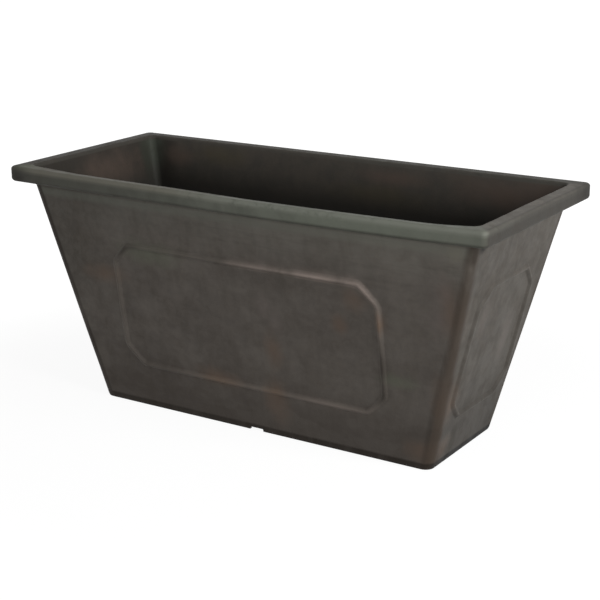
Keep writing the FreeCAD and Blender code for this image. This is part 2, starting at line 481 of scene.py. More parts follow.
def wall_relief(points, outward, z):
    """Height of the beads over the wall, and the groove line at their feet."""
    relief = np.zeros(len(points))
    groove = np.zeros(len(points))
    for axis, half, lean in ((0, SIDE_FRAME_HALF, SIDE_LEAN), (1, END_FRAME_HALF, END_LEAN)):
        chosen = np.abs(outward[:, 1 - axis]) > SQUARE_ON
        up_slope = np.full(len(points), z / math.cos(lean))
        off = np.abs(frame_distance(points[:, axis], up_slope, half, lean))
        crown = np.clip(1.0 - (off / BEAD_HALF) ** 2, 0.0, 1.0) ** BEAD_CROWN
        line = np.exp(-((off - BEAD_HALF - GROOVE_OFF) / GROOVE_WIDTH) ** 2)
        relief = np.where(chosen, crown, relief)
        groove = np.where(chosen, line, groove)
    return relief, groove


def moulded_body():
    """The whole body as one closed mesh, ring by ring from under its floor and back."""
    body = Moulding()
    rings = []
    for part, x_half, y_half, radius, z in body_rings():
        flat, outward, corner_run = ring_places(x_half, y_half, radius)
        points = np.column_stack([flat, np.full(len(flat), z)])
        values = ring_values(part, corner_run, z)
        if part == "wall":
            relief, groove = wall_relief(points, outward, z)
            lean = SIDE_LEAN * np.abs(outward[:, 1]) + END_LEAN * np.abs(outward[:, 0])
            wave = [sum(height * uneven(p, size, seed) for height, size, seed in WAVES) for p in points]
            lift = BEAD_HEIGHT * relief + np.array(wave)
            points[:, :2] += outward * (lift * np.cos(lean))[:, None]
            points[:, 2] -= lift * np.sin(lean)
            values["bead"] = relief
            values["bead_foot"] = groove
        if part in ("wall", "foot", "foot inside") and z < NOTCH_BLEND:
            for index in range(len(points)):
                if abs(outward[index][1]) > SQUARE_ON:
                    cut = notch_height(points[index][0])
                    points[index][2] = cut + points[index][2] * (1 - cut / NOTCH_BLEND)
        rings.append((part, body.add_ring(belly(points), **values)))

    for (part, ring), (_, following) in zip(rings, rings[1:]):
        material = BARE if part in ("underside", "foot inside") else FINISH
        join_loops(body.mesh, ring, following, material)

    floor_loops = [rings[-1][1]]
    under_loops = [rings[0][1]]
    for x in DRAIN_X:
        top, bottom = drain_hole(body, x)
        floor_loops.append(top)
        under_loops.append(bottom)
    body.cap(floor_loops, FINISH)
    body.cap(under_loops, BARE)
    bmesh.ops.recalc_face_normals(body.mesh, faces=body.mesh.faces)
    return finished_mesh("planter_moulding", body.mesh)


def drain_hole(body, x):
    """Surface of one drain hole from the floor's top to its underside, its edges a little round."""
    seat = FLOOR_TOP - SEAT_DEPTH
    seat_section = [
        (SEAT_RADIUS + 0.6, FLOOR_TOP), (SEAT_RADIUS + 0.2, FLOOR_TOP - 0.15),
        (SEAT_RADIUS, FLOOR_TOP - 0.5), (SEAT_RADIUS, seat + 0.3), (SEAT_RADIUS - 0.3, seat),
        (DRAIN_RADIUS + 0.5, seat), (DRAIN_RADIUS + 0.12, seat - 0.15),
    ]
    boss_section = [
        (DRAIN_RADIUS, seat - 0.5), (DRAIN_RADIUS, BOSS_LOW + 0.5), (DRAIN_RADIUS + 0.5, BOSS_LOW),
        (BOSS_RADIUS - 0.6, BOSS_LOW), (BOSS_RADIUS - 0.15, BOSS_LOW + 0.2),
        (BOSS_RADIUS, BOSS_LOW + 0.6), (BOSS_RADIUS, FLOOR_UNDER - 0.9),
        (BOSS_RADIUS + 0.25, FLOOR_UNDER - 0.25), (BOSS_RADIUS + 0.9, FLOOR_UNDER),
    ]
    angles = np.arange(TURN_STEPS) * 2 * math.pi / TURN_STEPS
    rings = []
    for inside, section in ((1.0, seat_section), (0.0, boss_section)):
        for radius, z in section:
            points = [(x + radius * np.cos(a), radius * np.sin(a), z) for a in angles]
            rings.append((inside, body.add_ring(points, inside=inside, corner_run=1.0)))
    for (inside, ring), (_, following) in zip(rings, rings[1:]):
        join_loops(body.mesh, ring, following, FINISH if inside else BARE)
    return rings[0][1], rings[-1][1]


def in_scene(name, data):
    """New object of the scene."""
    thing = bpy.data.objects.new(name, data)
    bpy.context.scene.collection.objects.link(thing)
    return thing


def finished_mesh(name, built):
    """Turns built geometry into a smooth-shaded object of the scene."""
    data = bpy.data.meshes.new(name)
    built.to_mesh(data)
    built.free()
    data.shade_smooth()
    piece = in_scene(name, data)
    weighted = piece.modifiers.new("even normals", "WEIGHTED_NORMAL")
    weighted.mode = "FACE_AREA"
    weighted.keep_sharp = False
    return piece


def add_bar(built, low, high, edge=0.5):
    """Adds a bar between two corners, with its edges rounded."""
    corners = bmesh.ops.create_cube(built, size=1.0)["verts"]
    middle = (Vector(low) + Vector(high)) / 2
    size = Vector(high) - Vector(low)
    for vert in corners:
        vert.co = Vector((vert.co.x * size.x, vert.co.y * size.y, vert.co.z * size.z)) + middle
    edges = list({e for vert in corners for e in vert.link_edges})
    bmesh.ops.bevel(built, geom=edges, offset=edge, segments=3, affect="EDGES", profile=0.5)


def moved_by_belly(built):
    """Carries bars under the front rim with the belly of the front."""
    verts = list(built.verts)
    places = np.array([tuple(vert.co) for vert in verts])
    for vert, place in zip(verts, belly(places)):
        vert.co = Vector([float(v) for v in place])


def to_metres(built):
    bmesh.ops.scale(built, vec=(MM, MM, MM), verts=built.verts)


def rim_webs():
    """Webs that tie the lip to the wall under the rim plate."""
    built = bmesh.new()
    half = WEB_THICKNESS / 2
    high = HEIGHT - PLATE + WEB_IN_PLATE
    lip_x, lip_y, _ = rim_outline(LIP_THICKNESS - WEB_IN_LIP, 0)
    wall_x, wall_y, _ = wall_outline(WEB_LOW, WEB_IN_WALL, 0)
    for length, wall, lip in ((RIM_LENGTH, wall_y, lip_y), (RIM_WIDTH, wall_x, lip_x)):
        count = int((length - 2 * OVERHANG) / WEB_PITCH)
        for place in [(index - (count - 1) / 2) * WEB_PITCH for index in range(count)]:
            for side in (-1, 1):
                near, far = sorted((side * wall, side * lip))
                low_corner, high_corner = (place - half, near), (place + half, far)
                if length == RIM_WIDTH:
                    low_corner, high_corner = low_corner[::-1], high_corner[::-1]
                add_bar(built, (*low_corner, WEB_LOW), (*high_corner, high))
    moved_by_belly(built)
    to_metres(built)
    return finished_mesh("rim_webs", built)


def floor_ribs():
    """Ribs that stiffen the floor from below."""
    built = bmesh.new()
    half = RIB_THICKNESS / 2
    high = FLOOR_UNDER + RIB_SINK
    reach_x, reach_y, _ = wall_outline(RIB_LOW, WALL - RIB_SINK, 0)
    for x in CROSS_RIB_X:
        add_bar(built, (x - half, -reach_y, RIB_LOW), (x + half, reach_y, high))
    for y in LONG_RIB_Y:
        low_corner = (-reach_x, y - half, RIB_LOW + LONG_RIB_RAISE)
        add_bar(built, low_corner, (reach_x, y + half, high - LONG_RIB_DROP))
    to_metres(built)
    return finished_mesh("floor_ribs", built)


# Drain plugs

PLUG_SEAT = FLOOR_TOP - SEAT_DEPTH + 0.05
FLANGE_TOP = PLUG_SEAT + 3.0
FLANGE_RADIUS = 14.5
STEM_RADIUS = 9.9
FLANGE_EDGE = 1.4
STEM_TIP = 4.5
TAB_HALF = 7.0
TAB_TOP = FLANGE_TOP + 9.0
TAB_HALF_THICKNESS = 2.0
PLUG_TURNS_DEG = (6.0, -4.0, 3.0, -7.0)

# The tab's soft edge as inset and distance from its middle plane, from its face inward, and its
# grip lines as rise over the tab's shoulder and half length
TAB_EDGE = ((1.0, 2.0), (0.45, 1.85), (0.12, 1.5), (0.0, 1.0))
GRIP_LINES = ((-0.6, 3.8), (1.2, 3.8), (3.0, 2.8))
GRIP_HALF = 0.35


def turned(built, profile):
    """Closed turned body from a half section that starts and ends on its axis."""
    rings = []
    angles = [2 * math.pi * step / TURN_STEPS for step in range(TURN_STEPS)]
    for radius, z in profile:
        if radius == 0:
            rings.append([built.verts.new((0, 0, z))])
        else:
            points = [(radius * math.cos(a), radius * math.sin(a), z) for a in angles]
            rings.append([built.verts.new(point) for point in points])
    for first, second in zip(rings, rings[1:]):
        if len(first) == len(second):
            join_loops(built, first, second)
            continue
        for index in range(TURN_STEPS):
            after = (index + 1) % TURN_STEPS
            if len(first) == 1:
                built.faces.new((first[0], second[after], second[index]))
            else:
                built.faces.new((first[index], first[after], second[0]))


def plug_section():
    """Half section of a plug: hollow stem, flange with a round edge, shallow ring on top."""
    hollow = [(0, 5.5), (4.6, 5.5), (5.2, 4.9), (5.6, 0.5), (6.0, 0), (8.8, 0), (9.3, 0.2), (9.6, 0.9)]
    section = [(radius, STEM_TIP + rise) for radius, rise in hollow]
    section += [(STEM_RADIUS, STEM_TIP + 3.0), (STEM_RADIUS, PLUG_SEAT - 0.4)]
    section += [(STEM_RADIUS + 0.4, PLUG_SEAT), (FLANGE_RADIUS - 0.5, PLUG_SEAT)]
    section += [(FLANGE_RADIUS - 0.15, PLUG_SEAT + 0.15), (FLANGE_RADIUS, PLUG_SEAT + 0.5)]
    for c, s in arc(5, 0, 90):
        section.append((FLANGE_RADIUS - FLANGE_EDGE * (1 - c), FLANGE_TOP - FLANGE_EDGE * (1 - s)))
    shallow_ring = [(11.9, 0), (11.4, -0.35), (10.6, -0.35), (10.1, 0), (8.0, 0.02), (0, 0.02)]
    return section + [(radius, FLANGE_TOP + rise) for radius, rise in shallow_ring]


def pull_tab(built):
    """Upright tab, round at its top and soft at its edges, with grip lines on both faces."""
    shoulder = TAB_TOP - TAB_HALF
    low = FLANGE_TOP - 1.5
    rings = []
    layers = [(inset, -y) for inset, y in TAB_EDGE] + list(reversed(TAB_EDGE))
    for inset, y in layers:
        half = TAB_HALF - inset
        outline = [(half, low), (half, (low + shoulder) / 2)]
        outline += [(half * c, shoulder + half * s) for c, s in arc(20, 0, 180)]
        outline += [(-half, (low + shoulder) / 2), (-half, low)]
        rings.append([built.verts.new((x, y, z)) for x, z in outline])
    for first, second in zip(rings, rings[1:]):
        join_loops(built, first, second)
    built.faces.new(rings[0])
    built.faces.new(list(reversed(rings[-1])))
    for rise, half in GRIP_LINES:
        z = shoulder + rise
        for y in (-TAB_HALF_THICKNESS, TAB_HALF_THICKNESS):
            low_corner = (-half, y - GRIP_HALF, z - GRIP_HALF)
            add_bar(built, low_corner, (half, y + GRIP_HALF, z + GRIP_HALF), edge=0.25)


def drain_plug(number, x):
    """Soft plug that closes one drain hole, with its tab turned a little by hand."""
    built = bmesh.new()
    turned(built, plug_section())
    pull_tab(built)
    bmesh.ops.recalc_face_normals(built, faces=built.faces)
    turn = Matrix.Rotation(math.radians(PLUG_TURNS_DEG[number - 1]), 3, "Z")
    bmesh.ops.rotate(built, matrix=turn, verts=built.verts)
    bmesh.ops.translate(built, vec=(x, 0, 0), verts=built.verts)
    to_metres(built)
    return finished_mesh("plug_" + str(number) + "_rubber", built)


# Materials

def tone(colour):
    """Colour from the 0 to 255 values of red, green and blue that a screen shows."""
    linear = []
    for value in colour:
        share = value / 255.0
        linear.append(share / 12.92 if share <= 0.04045 else ((share + 0.055) / 1.055) ** 2.4)
    return (*linear, 1.0)


class Nodes:
    """Adds and joins nodes of a material or a node group in a few words."""

    def __init__(self, tree):
        self.tree = tree
        self.here = None

    def add(self, kind, settings=None, **inputs):
        node = self.tree.nodes.new("ShaderNode" + kind)
        for name, value in (settings or {}).items():
            setattr(node, name, value)
        for name, value in inputs.items():
            self.feed(node.inputs[name.replace("_", " ")], value)
        return node

    def feed(self, socket, value):
        if isinstance(value, bpy.types.NodeSocket):
            self.tree.links.new(value, socket)
        else:
            socket.default_value = value

    def math(self, operation, first, second=0.0):
        node = self.add("Math", {"operation": operation})
        self.feed(node.inputs[0], first)
        self.feed(node.inputs[1], second)
        return node.outputs[0]

    def times(self, *factors):
        result = factors[0]
        for factor in factors[1:]:
            result = self.math("MULTIPLY", result, factor)
        return result

    def away(self, value, middle):
        """How far a value is from a middle one."""
        return self.math("ABSOLUTE", self.math("SUBTRACT", value, middle))

    def less(self, value):
        """What is left of 1 once the value is taken away."""
        return self.math("SUBTRACT", 1.0, value)

    def vector(self, operation, first, second=(0, 0, 0)):
        node = self.add("VectorMath", {"operation": operation})
        self.feed(node.inputs[0], first)
        self.feed(node.inputs[1], second)
        return node.outputs["Value" if operation == "LENGTH" else "Vector"]

    def noise(self, place, scale, detail=3.0, roughness=0.55, distortion=0.0):
        node = self.add("TexNoise", Vector=place, Scale=scale, Detail=detail)
        self.feed(node.inputs["Roughness"], roughness)
        self.feed(node.inputs["Distortion"], distortion)
        return node.outputs["Fac"]

    def ramp(self, value, low, high, to_low=0.0, to_high=1.0):
        """Smooth change from to_low to to_high as the value goes from low to high."""
        node = self.add("MapRange", {"interpolation_type": "SMOOTHSTEP"}, Value=value,
                        From_Min=low, From_Max=high, To_Min=to_low, To_Max=to_high)
        return node.outputs["Result"]

    def vary(self, mask, to_low, to_high):
        """Smooth change from to_low to to_high as a mask goes from 0 to 1."""
        return self.ramp(mask, 0.0, 1.0, to_low, to_high)

    def mix(self, base, over, factor):
        node = self.add("Mix", {"data_type": "RGBA"}, Factor=factor)
        self.feed(node.inputs[6], base)
        self.feed(node.inputs[7], over)
        return node.outputs[2]

    def blend(self, first, second, share):
        """From one screen colour to another."""
        return self.mix(tone(first), tone(second), share)

    def coats(self, paint, *layers):
        """Lays colours over the paint in turn, each by the product of the shares after it."""
        for colour, *shares in layers:
            over = tone(colour) if isinstance(colour, tuple) else colour
            paint = self.mix(paint, over, self.times(*shares))
        return paint

    def group(self, tree, **inputs):
        """Output of a shared effect at the places on this material's surface."""
        return self.add("Group", {"node_tree": tree}, Place=self.here, **inputs).outputs[0]

    def blotch(self, centre, reach):
        return self.group(BLOTCH, Centre=centre, Reach=reach)

    def patches(self, spots):
        """One mask of several soft blotches."""
        mask = 0.0
        for centre, reach in spots:
            mask = self.math("MAXIMUM", mask, self.blotch(centre, reach))
        return mask

    def attribute(self, name):
        return self.add("Attribute", {"attribute_name": name}).outputs["Fac"]

    def find_place(self):
        """Finds the place on the surface, in metres in the object's own frame."""
        self.here = self.add("TexCoord").outputs["Object"]
        return self.here

    def along_axes(self, place):
        parts = self.add("SeparateXYZ", Vector=place).outputs
        return parts["X"], parts["Y"], parts["Z"]


def shared_effect(build, output, **inputs):
    """Node group named after its function, with Place and the named inputs as its sockets."""
    tree = bpy.data.node_groups.new(build.__name__, "ShaderNodeTree")
    inputs = {"Place": (0, 0, 0), **inputs}
    for label, value in inputs.items():
        kind = "NodeSocketVector" if isinstance(value, tuple) else "NodeSocketFloat"
        tree.interface.new_socket(label, in_out="INPUT", socket_type=kind).default_value = value
    tree.interface.new_socket(output, in_out="OUTPUT", socket_type="NodeSocketFloat")
    entry = tree.nodes.new("NodeGroupInput")
    leave = tree.nodes.new("NodeGroupOutput")
    nodes = Nodes(tree)
    given = {label.lower(): entry.outputs[label] for label in inputs}
    nodes.feed(leave.inputs[0], build(nodes, **given))
    return tree


def cloudy_paint(nodes, place, scale, low, high):
    """Soft clouds of tone, as thin paint leaves them."""
    clouds = nodes.noise(place, scale, detail=4.0, roughness=0.6, distortion=0.4)
    return nodes.ramp(clouds, low, high)


def wiped_streaks(nodes, place, drawn, scale, low, high):
    """Streaks drawn out one way, down the wall or along it, as a wiped glaze leaves them."""
    stretched = nodes.vector("MULTIPLY", place, drawn)
    streaks = nodes.noise(stretched, scale, detail=5.0, roughness=0.6, distortion=0.3)
    return nodes.ramp(streaks, low, high)


def worn_and_sheened_high_places(nodes, place, wear, amount, scale):
    """Broken pale wear and painted sheen over raised places: a value eaten into by noise."""
    grain = nodes.noise(place, scale, detail=5.0, roughness=0.65)
    spots = nodes.noise(place, 14.0, detail=2.0)
    eaten = nodes.math("ADD", nodes.times(grain, 0.6), nodes.times(spots, 0.4))
    limit = nodes.times(nodes.less(amount), 0.8)
    return nodes.times(nodes.ramp(eaten, limit, nodes.math("ADD", limit, 0.18)), wear)


def soft_blotch(nodes, place, centre, reach):
    """One soft blotch of colour about a place, broken by noise."""
    off_centre = nodes.vector("SUBTRACT", place, centre)
    distance = nodes.vector("LENGTH", nodes.vector("DIVIDE", off_centre, reach))
    torn = nodes.times(nodes.noise(place, 45.0, detail=4.0), 1.1)
    return nodes.ramp(nodes.math("ADD", distance, torn), 1.75, 0.55)


def moulded_grain(nodes, place, scale, pits):
    """Fine relief of the moulding: a slight orange peel with small pits."""
    peel = nodes.noise(place, scale, detail=2.0)
    cells = nodes.add("TexVoronoi", Vector=place, Scale=nodes.times(scale, 0.7))
    sunk = nodes.ramp(cells.outputs["Distance"], 0.0, 0.35, -1.0, 0.0)
    return nodes.math("ADD", peel, nodes.times(sunk, pits))


def settled_dust(nodes, place, amount):
    """Dust that settles on faces that look up."""
    up = nodes.along_axes(nodes.add("NewGeometry").outputs["Normal"])[2]
    specks = nodes.ramp(nodes.noise(place, 160.0, detail=6.0, roughness=0.7), 0.4, 0.75)
    return nodes.times(nodes.ramp(up, 0.55, 0.98), specks, amount)


# The effects that the materials share
CLOUDY = shared_effect(cloudy_paint, "Mask", Scale=12.0, Low=0.35, High=0.65)
STREAKS = shared_effect(wiped_streaks, "Mask", Drawn=(1.0, 1.0, 0.12), Scale=60.0, Low=0.4, High=0.7)
WORN_AND_SHEENED = shared_effect(worn_and_sheened_high_places, "Mask", Wear=0.0, Amount=0.5, Scale=90.0)
BLOTCH = shared_effect(soft_blotch, "Mask", Centre=(0, 0, 0), Reach=(0.05, 0.05, 0.05))
GRAIN = shared_effect(moulded_grain, "Height", Scale=400.0, Pits=0.5)
DUST = shared_effect(settled_dust, "Mask", Amount=0.3)


def new_material(name):
    """Material with a helper for its nodes and its Principled shader."""
    material = bpy.data.materials.new(name)
    material.use_nodes = True
    nodes = Nodes(material.node_tree)
    nodes.find_place()
    return material, nodes, material.node_tree.nodes["Principled BSDF"]


def finish_surface(nodes, shader, colour, roughness, gloss, grain, pits, strength, depth):
    """Feeds a shader with its colour and roughness, and with the moulding's grain as bump."""
    nodes.feed(shader.inputs["Base Color"], colour)
    nodes.feed(shader.inputs["Roughness"], roughness)
    shader.inputs["Specular IOR Level"].default_value = gloss
    height = nodes.group(GRAIN, Scale=grain, Pits=pits)
    bump = nodes.add("Bump", Strength=strength, Distance=depth, Height=height)
    nodes.feed(shader.inputs["Normal"], bump.outputs["Normal"])


# Where the glaze was rubbed off the bead: middle, reach and share of the pale rub
BEAD_RUBS = (
    ((0.100, -0.112, 0.203), (0.050, 0.06, 0.024), 0.92),
    ((0.156, -0.110, 0.198), (0.024, 0.06, 0.022), 0.72),
    ((0.022, -0.112, 0.204), (0.044, 0.06, 0.020), 0.52),
    ((0.175, -0.106, 0.166), (0.022, 0.06, 0.024), 0.34),
    ((0.100, -0.087, 0.055), (0.090, 0.05, 0.020), 0.26),
    ((-0.040, -0.087, 0.055), (0.075, 0.05, 0.020), 0.16),
    ((-0.130, 0.112, 0.203), (0.110, 0.06, 0.022), 0.45),
    ((0.272, 0.020, 0.204), (0.020, 0.04, 0.020), 0.06),
)

# Where the rub goes down to a copper tone, and where the bead is darkened with painted shade
COPPER_RUBS = (
    ((0.174, -0.104, 0.160), (0.020, 0.06, 0.016)),
    ((-0.045, -0.087, 0.055), (0.034, 0.05, 0.020)),
    ((0.032, -0.087, 0.055), (0.018, 0.05, 0.020)),
    ((-0.150, 0.112, 0.203), (0.040, 0.06, 0.022)),
)
SHADED_BEADS = (
    ((0.173, -0.095, 0.112), (0.016, 0.05, 0.030)),
    ((0.174, -0.092, 0.080), (0.016, 0.05, 0.026)),
    ((-0.160, -0.108, 0.200), (0.030, 0.05, 0.022)),
)

# Warm and pale patches in the outer glaze: middle and reach
WARM_PATCHES = (
    ((0.034, -0.087, 0.045), (0.020, 0.05, 0.036)),
    ((0.036, -0.095, 0.107), (0.014, 0.05, 0.030)),
    ((0.144, -0.105, 0.184), (0.018, 0.05, 0.016)),
    ((0.218, -0.085, 0.020), (0.030, 0.05, 0.024)),
    ((-0.190, -0.101, 0.163), (0.038, 0.05, 0.014)),
    ((0.255, -0.100, 0.190), (0.016, 0.03, 0.040)),
    ((0.125, -0.097, 0.153), (0.013, 0.04, 0.015)),
    ((-0.047, -0.084, 0.061), (0.034, 0.05, 0.012)),
    ((0.240, -0.086, 0.080), (0.014, 0.04, 0.036)),
    ((-0.080, 0.090, 0.075), (0.050, 0.05, 0.040)),
)
SAGE_PATCHES = (
    ((-0.118, -0.104, 0.199), (0.052, 0.05, 0.018)),
    ((0.190, -0.092, 0.100), (0.030, 0.05, 0.010)),
)
PALE_PATCHES = (
    ((0.250, -0.107, 0.212), (0.010, 0.03, 0.022)),
    ((0.241, -0.103, 0.192), (0.016, 0.03, 0.040)),
    ((0.030, -0.105, 0.157), (0.013, 0.03, 0.020)),
    ((0.043, -0.103, 0.140), (0.013, 0.03, 0.020)),
    ((0.262, -0.040, 0.165), (0.03, 0.012, 0.030)),
    ((0.255, 0.030, 0.125), (0.03, 0.014, 0.034)),
)

# Dark patches at the ends of the rim
TIP_PATCHES = (
    ((-0.291, -0.132, 0.272), (0.022, 0.014, 0.014)),
    ((-0.303, -0.124, 0.270), (0.012, 0.014, 0.012)),
    ((0.307, 0.116, 0.273), (0.018, 0.034, 0.020)),
    ((-0.300, 0.124, 0.276), (0.02, 0.014, 0.014)),
)

# Reddish and olive patches on the inner walls
RED_PATCHES = (
    ((-0.285, 0.020, 0.250), (0.03, 0.075, 0.032)),
    ((-0.240, 0.106, 0.262), (0.028, 0.03, 0.016)),
    ((0.070, 0.110, 0.265), (0.055, 0.03, 0.012)),
    ((0.225, 0.106, 0.262), (0.100, 0.03, 0.024)),
    ((0.282, 0.108, 0.256), (0.050, 0.03, 0.036)),
)
OLIVE_PATCHES = (
    ((-0.176, 0.109, 0.267), (0.046, 0.03, 0.016)),
    ((0.050, 0.106, 0.243), (0.080, 0.03, 0.018)),
)


def wall_paint(nodes, mottle, streaks, end_share):
    """Dark bronze of the outer walls: cloudy, wiped downward, greener up high, with painted light toward the
    right, and painted shade at the upper left, toward the foot and just under the lip.
    """
    x, _, z = nodes.along_axes(nodes.here)
    clouds = nodes.group(CLOUDY, Scale=9.0, Low=0.36, High=0.64)
    speckle = nodes.group(CLOUDY, Scale=100.0, Low=0.38, High=0.62)
    wiped = nodes.group(STREAKS, Drawn=(0.1, 1.0, 1.0), Scale=130.0, Low=0.45, High=0.68)
    smears = nodes.group(STREAKS, Drawn=(0.45, 1.0, 1.0), Scale=32.0, Low=0.40, High=0.60)
    side = nodes.less(end_share)
    # Painted light: the walls grow lighter toward the right
    right = nodes.ramp(x, -0.22, 0.20)
    # Painted shade over the upper left of the front
    upper_left_shade = nodes.times(nodes.ramp(x, -0.15, -0.24), nodes.ramp(z, 0.09, 0.19))
    # Pale green haze up high, lighter toward the right as painted light
    haze_tone = nodes.blend((70, 69, 64), (108, 105, 98), right)
    # Painted shade: the walls grow darker toward the foot
    low_shade_start = nodes.vary(end_share, 0.10, 0.16)
    low = nodes.ramp(z, low_shade_start, 0.0, 0.0, nodes.vary(end_share, 0.72, 0.92))
    low_shade_tone = nodes.blend((46, 39, 34), (32, 29, 25), end_share)
    band = nodes.times(nodes.ramp(z, 0.246, 0.254), nodes.ramp(z, 0.262, 0.257))
    # The pale band under the lip, lighter toward the right as painted light
    band_tone = nodes.blend((88, 91, 83), (104, 105, 96), right)
    light_block = nodes.blotch((0.264, -0.112, 0.251), (0.011, 0.03, 0.013))
    return nodes.coats(
        nodes.blend((66, 61, 57), (82, 77, 72), clouds),
        ((56, 57, 53), end_share, 0.46),
        # Painted light toward the right
        ((87, 82, 77), right, side, 0.45),
        (haze_tone, nodes.ramp(z, 0.205, 0.250), side, 0.75),
        ((58, 56, 50), wiped, nodes.ramp(z, 0.15, 0.22), side, 0.3),
        # Painted shade at the upper left
        ((54, 51, 46), upper_left_shade, side, 0.88),
        ((55, 49, 43), nodes.less(smears), 0.24),
        ((96, 91, 85), smears, 0.13),
        ((58, 50, 43), mottle, 0.2),
        ((104, 98, 91), speckle, 0.14),
        ((52, 48, 43), streaks, 0.16),
        # Painted shade toward the foot
        (low_shade_tone, low, nodes.vary(smears, 1.0, 0.8)),
        (band_tone, band, side, 0.48),
        ((106, 103, 92), light_block, 0.6),
        ((84, 87, 74), nodes.patches(SAGE_PATCHES), 0.62),
        ((86, 71, 60), nodes.patches(WARM_PATCHES), 0.7),
        ((98, 90, 86), nodes.patches(PALE_PATCHES), 0.38),
        # Painted shadow on the wall just under the lip
        ((44, 42, 37), nodes.ramp(z, 0.257, 0.263, 0.0, 0.5)),
    )


def inner_paint(nodes, mottle):
    """Inside: thin brown over dark moulding, with red and olive patches, and painted shade that darkens it
    further down.
    """
    x, _, z = nodes.along_axes(nodes.here)
    return nodes.coats(
        nodes.blend((52, 49, 44), (62, 57, 51), mottle),
        ((32, 28, 23), nodes.ramp(x, -0.235, -0.262), 0.95),
        ((75, 62, 54), nodes.patches(RED_PATCHES), 0.75),
        ((64, 58, 42), nodes.patches(OLIVE_PATCHES), 0.6),
        ((48, 53, 45), nodes.blotch((-0.288, 0.108, 0.262), (0.03, 0.022, 0.08))),
        ((34, 38, 30), nodes.blotch((-0.284, 0.092, 0.250), (0.02, 0.010, 0.07)), 0.8),
        # Painted shade deeper inside
        ((21, 21, 19), nodes.ramp(z, 0.262, 0.205, 0.0, 0.92)),
    )


def rim_paint(nodes, mottle, end_share):
    """Rim: grey-green on the front, brown-grey with pale scuffs on the ends, dark at the back, with painted
    shade on the front rim's near right corner and on the right end's outer edge.
    """
    x, y, z = nodes.along_axes(nodes.here)
    front = nodes.times(nodes.ramp(y, -0.06, -0.10), nodes.less(end_share))
    face = nodes.ramp(z, 0.2815, 0.2785)
    green = nodes.coats(
        nodes.blend((92, 95, 86), (79, 82, 74), mottle),
        ((101, 106, 95), nodes.blotch((0.17, -0.13, 0.278), (0.15, 0.03, 0.03)), 0.8),
        # Painted shade over the rounded near right corner of the front rim
        ((70, 71, 64), nodes.ramp(x, 0.297, 0.303), 0.8),
    )
    right_end = nodes.times(nodes.ramp(x, 0.05, 0.2), end_share)
    scuffs = nodes.group(CLOUDY, Scale=70.0, Low=0.45, High=0.6)
    scuffed = nodes.times(nodes.ramp(z, 0.2795, 0.2825), nodes.vary(scuffs, 0.66, 0.95))
    # Painted shade on the rounded outer edge of the right end's rim
    edge = nodes.times(nodes.ramp(x, 0.2990, 0.3030), nodes.ramp(z, 0.2760, 0.2785))
    return nodes.coats(
        nodes.blend((42, 40, 35), (52, 48, 43), mottle),
        (green, front, nodes.ramp(x, -0.28, 0.0, 0.32, 1.0)),
        ((44, 45, 40), face, front, nodes.ramp(x, 0.10, -0.14), 0.35),
        ((36, 35, 32), face, end_share, 0.44),
        ((113, 108, 101), right_end, scuffed),
        # Painted shade on the right end's outer edge
        ((52, 50, 46), right_end, edge, 0.7),
        ((16, 15, 13), nodes.patches(TIP_PATCHES), 0.92),
        ((98, 105, 80), nodes.blotch((-0.284, -0.120, 0.283), (0.020, 0.012, 0.008)), 0.6),
    )


def painted_shade_and_dark_lines(nodes, run, broken):
    """Painted shade along the foot, down the left corners and under the end lip by the near right corner,
    and dark lines down the upright corners.
    """
    x, _, z = nodes.along_axes(nodes.here)
    # Painted shade along the foot
    foot_shade = nodes.times(nodes.ramp(z, 0.0098, 0.0062), nodes.vary(broken, 0.7, 0.98))
    thin_line = nodes.ramp(nodes.away(run, nodes.ramp(z, 0.07, 0.17, -0.37, -0.16)), 0.26, 0.04)
    thin_line = nodes.times(thin_line, nodes.vary(broken, 0.08, 0.32))
    top_line = nodes.ramp(nodes.away(run, 0.0), 0.5, 0.15)
    top_line = nodes.times(top_line, nodes.ramp(z, 0.236, 0.246, 0.0, 0.4))
    # Painted shade down the left corners
    left_corner_shade = nodes.ramp(nodes.away(run, -0.34), 0.30, 0.10)
    left_corner_shade = nodes.times(left_corner_shade, nodes.ramp(x, -0.18, -0.22), nodes.vary(broken, 0.45, 0.92))
    # Painted shadow under the end lip by the near right corner
    mask = nodes.times(nodes.blotch((0.284, -0.094, 0.2565), (0.015, 0.010, 0.007)), 0.95)
    for part in (foot_shade, thin_line, top_line, left_corner_shade):
        mask = nodes.math("MAXIMUM", mask, part)
    return mask


def bead_rub(nodes, bead, bead_foot):
    """Share of bare rub on the beads, and its tone: pale, or copper in places."""
    rub = 0.0
    for centre, reach, share in BEAD_RUBS:
        rub = nodes.math("ADD", rub, nodes.times(nodes.blotch(centre, reach), share))
    wear = nodes.math("ADD", bead, nodes.times(bead_foot, 0.42))
    worn = nodes.group(WORN_AND_SHEENED, Wear=wear, Amount=0.7, Scale=60.0)
    rub_tone = nodes.blend((150, 137, 129), (152, 118, 90), nodes.patches(COPPER_RUBS))
    return nodes.times(worn, rub), rub_tone


